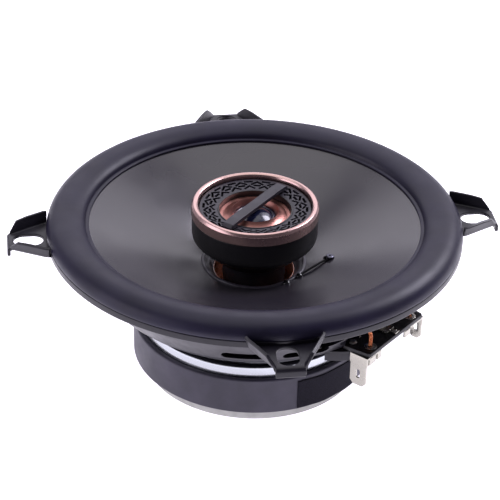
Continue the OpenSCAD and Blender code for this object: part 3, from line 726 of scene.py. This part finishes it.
def build_basket():
    wall = rounded([
        (22, TOP_PLATE_Z), (38, TOP_PLATE_Z, 1.5), (SHELF_R, SHELF_Z - SHEET - 0.3, 1.2),
        (53.4, 35.7, 1.2), (67, TAB_Z - SHEET, 2), (RIM_R, TAB_Z - SHEET, 0.5),
        (RIM_R, RIM_LIP_Z, 0.4), (RIM_R - 0.9, RIM_LIP_Z, 0.3), (RIM_R - 0.9, TAB_Z, 0.3),
        (66.4, TAB_Z, 2.5), (52.5, 36.5, 1.5), (SHELF_R + 0.4, SHELF_Z, 1),
        (37.5, SHELF_Z, 0.3), (37.5, SHELF_Z - SHEET, 0.3), (SHELF_R - 1.6, SHELF_Z - SHEET, 1),
        (37.6, TOP_PLATE_Z + SHEET, 1.5), (22, TOP_PLATE_Z + SHEET),
    ], 5)
    shell = lathe("bowl", wall, "paint", 288)
    cutters = [prism(slot_outline(21, 5.8), 16, radial(45 * (k + 0.5), 28.9, 36)) for k in range(8)]
    for quarter in (0, 90, 180, 270):
        cutters += [prism(slot_outline(16, 4.2), 12, radial(quarter + s * 10.5, 38.9, 50)) for s in (-1, 1)]
    cutters += [prism(slot_outline(16.6, 5), 11, radial(a, 50.3, 58)) for a in (-116, 64, 116)]
    shell = cut(shell, joined("cutters", cutters))
    ear = arc(0, 0, 1, 1, 0, 352.5, 47)
    opening = prism(slot_outline(47, 16), 17.4, radial(-45, 44.9, 51.6))
    opening = cut(opening, prism([(x * 7.6, y * 7.6) for x, y in ear], 40, radial(-73, 46.8, 40)))
    shell = cut(shell, opening)
    shell = cut(shell, prism([(x * 6.1, y * 6.1) for x, y in ear], 19, radial(-73, 46.8, 50)))
    doorway = [(-17.4, 0), (17.4, 0), (17.4, 4), (-17.4, 4)]
    shell = cut(shell, prism(doorway, 12, BOARD_TURN @ radial(0, LEDGE_Z - 0.06, 49.6)))
    finished(shell, "paint", 30)
    parts = [shell] + [tab(a) for a in (0, 90, 180, 270)]
    ledge = rounded([(42, -25), (51, -18.5, 1), (53, -16.5, 1), (53, 16.5, 1), (51, 18.5, 1), (42, 25),
                     (44, 12), (44, -12)])
    parts.append(plate("ledge", ledge, [], SHEET, "paint", 0.2,
                       BOARD_TURN @ shift(z=LEDGE_Z - SHEET / 2)))
    for side in (-1, 1):
        lip = rounded([(46.5, -21.8), (51, -18.5, 0.8), (53, -16.5, 0.5), (52, -16.2), (50, -18.2)])
        lip = [(x, -side * y) for x, y in lip]
        parts.append(plate("lip", lip, [], 3, "paint", 0.15, BOARD_TURN @ shift(z=LEDGE_Z - SHEET - 1.1)))
    place(joined("basket_shell", parts), CHASSIS, "basket_paint", "basket")

    head = rounded([(0, 24.6), (2.8, 24.6), (2.8, 25.1, 0.3), (2.0, 26.05, 0.5), (0, 26.1)], 3)
    rivets = [lathe("rivet", head, "steel", 40, matrix=turned(45 + 90 * k)
                    @ shift(x=31)) for k in range(4)]
    place(joined("basket_rivet_heads", rivets), CHASSIS, "plated_steel", "basket_rivets")


# ---- moving cone ---------------------------------------------------------


def build_surround():
    a_in, a_out = CREST_R - 58.4, RIM_R + 0.05 - CREST_R
    b_out = CREST_Z - ROLL_FOOT_Z
    b_in = CREST_Z - 57.7
    t = 0.85
    roll = [(70.8, TAB_Z + 0.05), (70.8, 55.4), (71.7, 55.75)]
    roll += arc(CREST_R, ROLL_FOOT_Z + 0.1, a_out, b_out - 0.1, 0, 90, 26)[1:]
    roll += arc(CREST_R, CREST_Z - b_in, a_in, b_in, 90, 172, 22)[1:]
    roll += [(58.3, 57.82), (57.9, 57.78), (57.5, 57.74), (57.28, 57.66), (57.18, 57.5), (57.2, 57.16)]
    roll += [(57.4, 57.05), (58.8, 57.05)]
    roll += arc(CREST_R, CREST_Z - b_in, a_in - t, b_in - t, 168, 90, 18)
    roll += arc(CREST_R, ROLL_FOOT_Z, a_out - t, b_out - t, 90, 30, 14)[1:]
    roll += [(70.0, 55.0), (66.9, 55.0), (66.9, TAB_Z + 0.05)]
    made = lathe("surround_roll", roll, "surround", 320, angle=50)
    bridge_bodies(made, CONE, 69.5, 58.8, "surround_rubber", "surround")


def build_spider():
    waves, steps = 5, 90
    r0, r1, t = 15.1, 38.0, 0.25
    mid = [(r0 + (r1 - r0) * k / steps,
            SHELF_Z + 1.3 + 0.75 * math.sin(math.radians(360 * waves * k / steps - 90)))
           for k in range(steps + 1)]
    outline = [(14.3, 34.9), (14.3, 36.2)] + [(r, z + t) for r, z in mid]
    outline += [(38.6, SHELF_Z + 0.5), (40.9, SHELF_Z + 0.45), (40.95, SHELF_Z + 0.02),
                (38.1, SHELF_Z + 0.02)]
    outline += [(r, z - t) for r, z in reversed(mid)]
    made = lathe("spider_disc", outline, "spider", 224, angle=60)
    bridge_bodies(made, CONE, 38.2, 15.6, "spider_cloth", "spider")


def build_cone():
    steps = 44
    rows = [NECK_R + (CONE_R - NECK_R) * k / steps for k in range(steps + 1)]
    outline = [(14.25, 37.0), (14.25, 37.75)] + [(r, cone_top(r)) for r in rows]
    outline += [(59.4, CONE_Z + 0.03), (59.55, CONE_Z - 0.25), (59.4, CONE_Z - 0.6)]
    outline += [(r, cone_top(r) - 0.6) for r in reversed(rows)]
    place(lathe("cone_shell", outline, "cone", 320, angle=50), CONE, "cone_polymer", "cone")

    def uneven(theta, r, z):
        if z < 38.8:
            return r, z
        return (r + 0.1 * math.sin(3 * theta + 1.2) + 0.05 * math.sin(11 * theta),
                z + 0.12 * math.sin(5 * theta) + 0.05 * math.sin(17 * theta + 2))

    lip = [(14.25, 37.85), (15.6, 39.15), (16.8, 40.35)] + arc(17.6, 41.1, 0.72, 0.62, -20, 190, 14)
    lip += [(16.5, 40.9), (15.6, 40.0), (14.9, 38.95), (14.4, 38.45), (14.25, 38.3)]
    place(lathe("collar_lip", lip, "collar", 200, angle=60, ripple=uneven), CONE, "collar_glue",
          "neck_collar")

    tube_wall = rounded([(FORMER_R, 15.5), (FORMER_R + 0.3, 15.5, 0.1), (FORMER_R + 0.3, 38.4, 0.12),
                         (FORMER_R, 38.4, 0.12)], 2)
    place(lathe("former_tube", tube_wall, "film", 160), CONE, "former_film", "voice_coil_former")

    turns, low, high = 26, 16.45, 26.45
    pitch = (high - low) / turns
    coil = [(FORMER_R + 0.3, low)]
    for k in range(turns):
        middle = low + pitch * (k + 0.5)
        coil += arc(FORMER_R + 0.8, middle, 0.2, pitch * 0.5, -90, 90, 4)
    coil += [(FORMER_R + 0.3, high)]
    place(lathe("coil_windings", coil, "wire", 128, angle=60), CONE, "copper_wire", "voice_coil_winding")

    seat = cone_top(26.5)
    spot = turned(-16) @ shift(x=26.5)
    barrel = rounded([(0.35, seat - 1.1), (0.8, seat - 1.1, 0.1), (0.8, seat + 0.65),
                      (1.4, seat + 0.72, 0.15),
                      (1.4, seat + 1.0, 0.15), (1.0, seat + 1.2, 0.15), (0.35, seat + 1.2, 0.15)], 3)
    place(lathe("lead_eyelet", barrel, "dark_metal", 32, matrix=spot), CONE, "plated_steel", "cone_eyelet")

    start = np.array([18.9 * math.cos(math.radians(-42)), 18.9 * math.sin(math.radians(-42))])
    end = np.array([25.3 * math.cos(math.radians(-17.8)), 25.3 * math.sin(math.radians(-17.8))])
    path = []
    for k in range(19):
        t = k / 18
        here = start + (end - start) * t
        path.append((*here, cone_top(np.hypot(*here)) + 0.45 + 0.3 * math.sin(math.pi * t)))
    place(tube("lead_wire", path, 0.4, "jacket"), CONE, "wire_jacket", "cone_lead")

    blobs = []
    for radius, angle, size, squat in ((18.9, -42, 1.15, 0.9), (19.1, -62, 1.25, 0.8),
            (25.6, -16.6, 1.3, 0.95)):
        dome = bmesh.new()
        bmesh.ops.create_icosphere(dome, subdivisions=4, radius=size)
        verts = [tuple(v.co) for v in dome.verts]
        faces = [[v.index for v in f.verts] for f in dome.faces]
        dome.free()
        lumpy = [(x * (1 + 0.12 * math.sin(3 * y + radius)), y * (1 + 0.1 * math.sin(2.3 * x + angle)),
                  z * squat) for x, y, z in verts]
        spot = turned(angle) @ shift(radius, 0, cone_top(radius) + 0.2)
        blobs.append(link_mesh("blob", lumpy, faces, "glue", matrix=spot, angle=80))
    place(joined("glue_beads", blobs), CONE, "glue_black", "lead_glue")


# ---- motor ---------------------------------------------------------------


def build_motor():
    front = rounded([(15.3, 19.3, 0.15), (40.3, 19.3, 0.3), (40.3, TOP_PLATE_Z, 0.35),
                     (15.3, TOP_PLATE_Z, 0.15)], 4)
    place(lathe("front_plate", front, "steel", 256), CHASSIS, "plated_steel", "top_plate")

    yoke = rounded([(2, 3.4), (4.3, 3.4), (4.3, 0, 0.3), (36.8, 0, 0.5), (38.2, 0.9, 0.5),
                    (38.2, BACK_PLATE_T, 0.2), (13.5, BACK_PLATE_T), (13.5, POLE_Z, 0.4), (2, POLE_Z,
                            0.2)], 4)
    place(lathe("back_plate", yoke, "zinc", 256), CHASSIS, "plated_steel", "t_yoke")

    boot = rounded([(39.5, 5.9), (41.7, 5.9, 0.3), (BOOT_R, 6.3, 0.3), (BOOT_R, 19.48, 0.9),
                    (40.42, 19.55, 0.15), (40.42, 19.25), (39.5, 19.25)], 6)
    place(lathe("boot_sleeve", boot, "boot", 256), CHASSIS, "boot_rubber", "magnet_boot")

    rows, columns = 60, 18
    grid = []
    for i in range(rows):
        u = i / (rows - 1)
        angle = math.radians(-76 + 38 * u)
        swell = 0.14 * math.sin(9 * u + 0.6) * math.sin(4 * u) + 0.3 * max(0, (u - 0.82) / 0.18) ** 2
        row = []
        for j in range(columns):
            v = j / (columns - 1)
            lump = swell * (0.5 + 0.5 * math.sin(3.4 * v + 5 * u)) + 0.05 * math.sin(23 * u + 7 * v)
            r = BOOT_R + 0.22 + max(lump, 0) * 0.8
            row.append((r * math.cos(angle), r * math.sin(angle), 6.6 + 11 * v + 0.12 * math.sin(14 * u)))
        grid.append(row)
    patch = thick_sheet("tape_patch", grid, 0.3, "tape", angle=60, uv_step=(28 / rows, 11.2 / columns))
    place(patch, CHASSIS, "tape_cloth", "cloth_tape")


# ---- tweeter -------------------------------------------------------------


def build_tweeter():
    post = rounded([(2.05, POLE_Z), (12.8, POLE_Z, 0.2), (12.8, 25.8, 0.3), (11.2, 27, 0.4),
                    (10.7, 27.6, 0.3),
                    (10.7, 36.9, 0.1), (10.95, 37.1, 0.1), (10.95, 43.2), (6.5, 43.2), (6.5, 34), (2.05,
                            34)], 3)
    place(lathe("post_body", post, "post", 160), CHASSIS, "black_plastic", "tweeter_post")

    head = rounded([(0, 0.9), (1.7, 0.9), (1.95, 0.5), (3.4, 0.5, 0.3), (3.9, 1.0, 0.4), (3.9, 3.4),
                    (2.0, 3.4),
                    (2.0, 33.2, 0.3), (0, 33.4)], 3)
    place(lathe("screw_body", head, "steel", 48), CHASSIS, "plated_steel", "tweeter_screw")

    cup = rounded([(4, 43.2), (11.6, 43.2, 0.3), (13.4, 44.3, 0.6), (20.7, 50.9, 0.8), (21.5, 52, 0.6),
                   (21.8, 53.4, 0.6), (21.8, 60.05, 0.2), (20.35, 60.05), (20.35, 58), (19.2, 58), (19.2,
                           52.4),
                   (12.6, 45.6), (4, 45.6)], 5)
    place(lathe("housing_cup", cup, "plastic", 256), CHASSIS, "black_plastic", "tweeter_housing")

    trim = rounded([(20.35, 60.15), (21.9, 60.12, 0.15), (TRIM_R, 60.4, 0.2), (TRIM_R, TRIM_Z - 1.0, 0.7),
                    (TRIM_R - 0.75, TRIM_Z - 0.05, 0.6), (20.5, TRIM_Z, 0.5), (19.9, TRIM_Z - 0.3, 0.35),
                    (19.65, TRIM_Z - 0.9, 0.2), (19.62, 60.85), (20.35, 60.45)], 6)
    place(lathe("trim_band", trim, "rose", 320, angle=40), CHASSIS, "rose_trim", "tweeter_ring")

    rows = (13.7, 15.9, 18.1)
    count = 18

    def corner(row, k):
        turn = 2 * math.pi * k / count
        return Vector((rows[row] * math.cos(turn), rows[row] * math.sin(turn)))

    def dash(a, b, share, width=0.85):
        run = b - a
        along, middle = run.normalized(), (a + b) / 2
        side = Vector((-along.y, along.x)) * width / 2
        reach = along * run.length * share / 2
        return [tuple(middle + s * reach + t * side) for s, t in ((-1, -1), (1, -1), (1, 1), (-1, 1))]

    def chevron(apex, left, right, width=0.8):
        """A bent slot whose point lies just inside apex."""
        point = apex * (1 - 0.4 / apex.length)
        arms = [(end - point).normalized() for end in (left, right)]
        ends = [point + (end - point) * 0.79 for end in (left, right)]
        sides = [Vector((-arm.y, arm.x)) * width / 2 for arm in arms]
        if sides[0] @ apex < 0:
            sides[0].negate()
        if sides[1] @ apex < 0:
            sides[1].negate()
        miter = (sides[0] + sides[1]) / (1 + sides[0] @ sides[1] / (width / 2) ** 2)
        return [tuple(v) for v in (point + miter, ends[1] + sides[1], ends[1] - sides[1],
                                   point - miter, ends[0] - sides[0], ends[0] + sides[0])]

    slits = []
    for k in range(count):
        slits += [dash(corner(2, k), corner(2, k + 1), 0.5),
                  dash(corner(1, k - 0.5), corner(1, k + 0.5), 0.46)]
        slits.append(chevron(corner(2, k), corner(1, k - 0.5), corner(1, k + 0.5)))
        slits.append(chevron(corner(1, k + 0.5), corner(0, k), corner(0, k + 1)))
    circle = arc(0, 0, 1, 1, 0, 358.125, 191)
    lattice = plate("lattice", [(x * GRILLE_R, y * GRILLE_R) for x, y in circle],
                    [[(x * 12.9, y * 12.9) for x, y in circle]] + slits, 0.8, "grille", 0.07)
    for v in lattice.data.vertices:
        v.co.z += (grille_top(math.hypot(v.co.x, v.co.y) / MM) - 0.4) * MM
    lattice.data.update()
    lattice = finished(lattice, "grille", 25)
    rim = rounded([(12.42, 60.1, 0.1), (12.42, 62.2, 0.2), (13.0, 62.2, 0.2), (13.0, 60.1, 0.1)], 4)
    skirt = rounded([(18.95, 59.25), (19.5, 59.25), (19.5, 61.95, 0.15), (19.15, 61.95), (19.15, 62.5),
                     (18.95, 62.5)], 3)
    parts = [lattice, lathe("rim", rim, "plastic", 192), lathe("skirt", skirt, "plastic", 192)]
    place(joined("grille_lattice", parts), CHASSIS, "black_plastic", "tweeter_grille")

    foot, end = grille_top(14.8) + 0.04, grille_top(17.6) + 0.04
    bar = rounded([(-17.6, end), (-17.6, end + 0.6), (-16.4, 64.2, 0.5), (-12, 64.4, 1.5), (12, 64.4, 1.5),
                   (16.4, 64.2, 0.5), (17.6, end + 0.6), (17.6, end), (14.8, foot), (13.6, 62.9),
                   (-13.6, 62.9), (-14.8, foot)], 4)
    upright = turned(48.5) @ turned(90, "X")
    place(plate("bridge_bar", bar, [], 3.8, "grille", 0.14, upright), CHASSIS, "black_plastic",
          "grille_bridge")

    flare = [(7.8, 59.22), (12.3, 59.22), (12.38, 59.95), (11.95, 60)]
    flare += arc(11.9, 64.6, 4.6, 5, 262, 215, 18)
    flare += [(7.12, 60.2), (7.12, 59.6), (7.8, 59.6)]
    place(lathe("flare", flare, "copper", 224, angle=50), CHASSIS, "copper_trim", "tweeter_waveguide")

    ball = (DOME_R ** 2 + DOME_H ** 2) / (2 * DOME_H)
    centre = DOME_Z + DOME_H - ball
    span = math.asin(DOME_R / ball)
    outer = [(ball * math.sin(span * (1 - k / 24)),
              centre + ball * math.cos(span * (1 - k / 24))) for k in range(24)]
    inner = [((ball - 0.25) * math.sin(span * k / 24), centre + (ball - 0.25) * math.cos(span * k / 24))
             for k in range(1, 25)]
    cap = outer + [(0, centre + ball), (0, centre + ball - 0.25)] + inner
    place(lathe("dome_cap", cap, "dome", 128, angle=60), DIAPHRAGM, "dome_fabric", "tweeter_dome")

    roll_r = (6.9 - DOME_R - 0.05) / 2
    mid_r = 6.9 - roll_r
    roll = [(7.7, 59.2), (7.7, 59.45)] + arc(mid_r, 59.45, roll_r, roll_r, 0, 180, 16)
    roll += [(mid_r - roll_r, 59.3), (mid_r - roll_r + 0.15, 59.3)]
    roll += arc(mid_r, 59.4, roll_r - 0.18, roll_r - 0.18, 180, 0, 16) + [(6.75, 59.2)]
    ring = lathe("dome_roll", roll, "dome", 128, angle=60)
    bridge_bodies(ring, DIAPHRAGM, 6.9, 6.0, "dome_fabric", "dome_surround")


# ---- terminals and leads -------------------------------------------------


def box(x0, x1, y0, y1, z0, z1, finish, bevel=0.1):
    """A small block with rounded edges, in the board's frame."""
    outline = rounded([(x0, y0, bevel), (x1, y0, bevel), (x1, y1, bevel), (x0, y1, bevel)], 2)
    return plate("block", outline, [], z1 - z0, finish, bevel, BOARD_TURN @ shift(z=(z0 + z1) / 2))


def blade(n0, n1, z0, z1, step, y):
    """A push-on blade with chamfered tip and a detent slot, its middle plane at y."""
    outline = rounded([(n0, z1, 0.2), (n1, z1, 0.2), (n1, z1 - 3.2, 0.3), (n1 - step, z1 - 3.8, 0.2),
                       (n1 - step, z0 + 1.4, 0.4), (n1 - step - 1.3, z0, 0.3), (n0 + step + 1.3, z0, 0.3),
                       (n0 + step, z0 + 1.4, 0.4), (n0 + step, z1 - 3.8, 0.2), (n0, z1 - 3.2, 0.3)], 3)
    hole = [((n0 + n1) / 2 + v, z0 + 4.6 + u) for u, v in slot_outline(3.4, 1.5, 10)]
    upright = Matrix(((1, 0, 0, 0), (0, 0, -1, 0), (0, 1, 0, 0), (0, 0, 0, 1)))
    return plate("blade", outline, [hole], BLADE_T, "tin", 0.12, BOARD_TURN @ shift(y=y) @ upright)


def build_terminals():
    outline = rounded([(50.6, -16.9), (60.6, -15.9, 1.4), (60.6, 15.9, 1.4), (50.6, 16.9)], 4)
    out, side = EYELET_AT
    holes = [[(out + 1.02 * x, s * side + 1.02 * y) for x, y in arc(0, 0, 1, 1, 0, 345, 23)]
             for s in (-1, 1)]
    place(plate("board_plate", outline, holes, BOARD_T, "laminate", 0.15,
                BOARD_TURN @ shift(z=LEDGE_Z + BOARD_T / 2)), CHASSIS, "board_laminate", "terminal_board")

    strip, low, high = LEDGE_Z - BLADE_T, BOARD_Z1, BOARD_Z1 + BLADE_T
    wide = [blade(53.3, 60.3, 22.8, LEDGE_Z, 0.35, -16.5),
            box(54.6, 60.4, -16.3, -8.6, strip, LEDGE_Z, "tin"),
            box(59.6, 60.4, -15.6, -11.8, 31.3, LEDGE_Z, "tin"), box(59.6, 60.4, -10.8, -8.6, 31.3, LEDGE_Z,
                    "tin")]
    place(joined("blade_wide", wide), CHASSIS, "tinned_metal", "positive_terminal")
    narrow = [blade(55, 60.2, 25.2, LEDGE_Z, 0.2, 16.5), box(54.6, 60.4, 5.6, 16.3, strip, LEDGE_Z, "tin"),
              box(59.6, 60.4, 5.6, 8.8, 31.5, LEDGE_Z, "tin")]
    place(joined("blade_narrow", narrow), CHASSIS, "tinned_metal", "negative_terminal")

    barrel = rounded([(0.55, strip - 0.4, 0.1), (1.6, strip - 0.4, 0.15), (1.6, strip, 0.05), (1.0, strip),
                      (1.0, low), (2.2, low, 0.1), (2.2, low + 0.15, 0.1), (1.2, low + 0.45, 0.25),
                      (0.62, low + 0.42, 0.15)], 3)
    pair = [lathe("eyelet", barrel, "tin", 40, matrix=BOARD_TURN @ shift(out, s * side)) for s in (-1, 1)]
    place(joined("eyelet_pair", pair), CHASSIS, "tinned_metal", "terminal_eyelets")

    pin = rounded([(0, LEDGE_Z - SHEET - 0.6), (1.4, LEDGE_Z - SHEET - 0.6, 0.2),
                   (1.4, LEDGE_Z - SHEET, 0.1),
                   (0.9, LEDGE_Z - SHEET), (0.9, low), (1.6, low, 0.15), (1.1, low + 0.6, 0.25), (0,
                           low + 0.62)], 3)
    out, side = BOARD_RIVET_AT
    pins = [lathe("pin", pin, "tin", 36, matrix=BOARD_TURN @ shift(out, s * side)) for s in (-1, 1)]
    place(joined("board_rivet_heads", pins), CHASSIS, "plated_steel", "board_rivets")

    solder = rounded([(0, LEDGE_Z - 0.5), (1.2, LEDGE_Z - 0.45, 0.2), (1.25, LEDGE_Z, 0.05),
                      (0.75, LEDGE_Z),
                      (0.75, low), (1.1, low + 0.45, 0.2), (0.6, low + 0.95, 0.3), (0, low + 1.0)], 4)
    lug = [box(54.2, 58.0, -2.6, 2.0, low, high, "tin"),
           box(54.2, 55.0, -2.6, 2.0, low, low + 3, "tin", 0.15),
           box(57.6, 60.4, -0.6, 1.8, low, low + 0.5, "tin"),
           lathe("solder", solder, "tin", 36, matrix=BOARD_TURN @ shift(59, 0.6))]
    place(joined("solder_lug", lug), CHASSIS, "tinned_metal", "centre_lug")

    can = rounded([(0, 0.0), (3.25, 0, 0.25), (3.58, 0.3, 0.2), (3.58, 1.5, 0.2), (3.25, 1.75, 0.15),
                   (3.25, 2.15, 0.15), (3.58, 2.4, 0.2), (3.58, 13.7, 0.3), (3.1, 14.0, 0.2), (2.9, 13.8,
                           0.1), (0, 13.8)], 4)
    lying = BOARD_TURN @ shift(46.6, -7, LEDGE_Z + 3.65) @ turned(-90, "X")
    place(lathe("capacitor_can", can, "sleeve", 72, matrix=lying), CHASSIS, "capacitor_sleeve",
          "crossover_capacitor")

    wire = [(46.6, 7, 38.2), (46.6, 8.6, 38.2), (48.4, 9.6, 38), (51, 9.8, 37.4), (52.2, 9.8, 36.7),
            (52.3, 9.8, 36.2)]
    ends = [tube("end", spline([(x, s * y, z) for x, y, z in wire], 5), 0.32, "tin", 10,
                 BOARD_TURN) for s in (-1, 1)]
    place(joined("capacitor_wires", ends), CHASSIS, "tinned_metal", "capacitor_leads")


def build_leads():
    routes = {
        "positive": [(57.8, -11.7, 36.6), (57.9, -11.8, 39), (57.6, -12, 41.5), (56, -12.6, 44),
                     (52, -13.4, 45.6),
                     (46, -14, 45.4), (40, -14.2, 44.8), (34, -14, 44.6), (29, -13.6, 45)],
        "negative": [(57.8, 11.7, 36.6), (57.9, 11.8, 39), (57.6, 12, 41.5), (56, 12.6, 44),
                     (52, 13.4, 45.6),
                     (46, 14, 45.2), (40, 14.2, 44.4), (33, 14, 43.6), (27, 13.4, 43.4)],
    }
    for sign, route in routes.items():
        path = spline(route, 9)
        made = twisted("lead_" + sign, path, 0.7, 4, 4.2, "braid", BOARD_TURN)
        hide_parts("tinsel_lead_" + sign)
        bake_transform(made)

    feed = [(54.5, 3, 34.5), (54.5, 3, 33), (53.8, 2.4, 30), (51, 1.4, 26.5), (47.2, 0.6, 22.8),
            (44.3, 0.2, 20.4),
            (43.1, 0, 18.8)]
    place(tube("feed_wire", spline(feed, 8), 0.6, "jacket", 14, BOARD_TURN), CHASSIS, "wire_jacket",
          "tweeter_feed_lead")


# ---- hidden CAD nodes keep their shape -----------------------------------


def dress_hidden():
    dressed = {"magnet": "ferrite", "tweeter_baffle": "plastic", "tweeter_coil": "wire",
               "tweeter_pole_plate": "steel", "tweeter_magnet": "nickel", "tweeter_motor_cup": "steel"}
    for node, finish in dressed.items():
        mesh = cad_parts[node].data
        mesh.materials.clear()
        mesh.materials.append(FINISH[finish])
        mesh.shade_smooth()
        mesh.set_sharp_from_angle(angle=math.radians(30))


# ---- stage, light and camera ---------------------------------------------


FLOOR_GLOW = 1.05
# How the studio's glow runs from the camera's side to behind the object
WORLD_GLOW = {"From Min": -0.5, "From Max": 0.75, "To Min": 0.1, "To Max": 0.42}
# name, place, size, power, colour
LIGHTS = [
    ("back_softbox", (0.1, 1.1, 0.75), (2.0, 0.7), 5.5, (0.95, 0.92, 1)),
    ("top_softbox", (-0.1, 0.2, 1.1), (1.1, 0.9), 3.2, (1, 0.98, 0.98)),
    ("left_softbox", (-1.0, -0.2, 0.45), (0.9, 0.7), 4.0, (0.93, 0.88, 1)),
    ("key_softbox", (0.7, 0.35, 0.75), (0.45, 0.45), 7.0, (0.9, 0.87, 1)),
]


def area_light(name, place_at, target, size, power, colour):
    data = bpy.data.lights.new(name, "AREA")
    data.energy = power
    data.color = colour
    data.shape = "RECTANGLE"
    data.size, data.size_y = size
    made = bpy.data.objects.new(name, data)
    made.location = place_at
    made.rotation_euler = (Vector(target) - Vector(place_at)).to_track_quat("-Z", "Y").to_euler()
    bpy.context.scene.collection.objects.link(made)


def build_stage():
    floor = link_mesh("floor", [(-9000, -9000, 0), (9000, -9000, 0), (9000, 9000, 0), (-9000, 9000, 0)],
                      [[0, 1, 2, 3]], "paint", matrix=shift(z=-0.05))
    pale = Finish("pale_floor", rgb(250, 250, 250), 0.9)
    pale.mottled(rgb(249, 249, 249), rgb(251, 251, 251), 400)
    pale.bsdf.inputs["Emission Color"].default_value = (0.92, 0.88, 1, 1)
    pale.bsdf.inputs["Emission Strength"].default_value = FLOOR_GLOW
    floor.data.materials[0] = pale.mat

    world = bpy.data.worlds.new("studio")
    bpy.context.scene.world = world
    world.use_nodes = True
    tree = world.node_tree
    background = tree.nodes["Background"]
    background.inputs["Color"].default_value = (0.87, 0.83, 1.0, 1)
    facing = tree.nodes.new("ShaderNodeSeparateXYZ")
    tree.links.new(tree.nodes.new("ShaderNodeTexCoord").outputs["Generated"], facing.inputs[0])
    glow = tree.nodes.new("ShaderNodeMapRange")
    glow.interpolation_type = "SMOOTHSTEP"
    tree.links.new(facing.outputs["Y"], glow.inputs["Value"])
    for key, value in WORLD_GLOW.items():
        glow.inputs[key].default_value = value
    tree.links.new(glow.outputs[0], background.inputs["Strength"])

    aim = (0, 0, 0.05)
    for name, place_at, size, power, colour in LIGHTS:
        area_light(name, place_at, aim, size, power, colour)

    cam = bpy.data.objects.new("camera", bpy.data.cameras.new("camera"))
    cam.data.lens, cam.data.sensor_width = 148.5, 36
    cam.data.clip_start, cam.data.clip_end = 0.01, 100
    eye, target = Vector((-0.0902, -0.6046, 0.4228)), Vector((-0.00146, 0, 0.04556))
    looking = (target - eye).to_track_quat("-Z", "Y").to_matrix().to_4x4()
    cam.matrix_world = Matrix.Translation(eye) @ looking @ turned(1.48)
    bpy.context.scene.collection.objects.link(cam)
    bpy.context.scene.camera = cam
    bpy.context.scene.view_settings.view_transform = "Standard"


build_stage()
build_basket()
build_surround()
build_spider()
build_cone()
build_motor()
build_tweeter()
build_terminals()
build_leads()
dress_hidden()

bpy.context.view_layer.update()
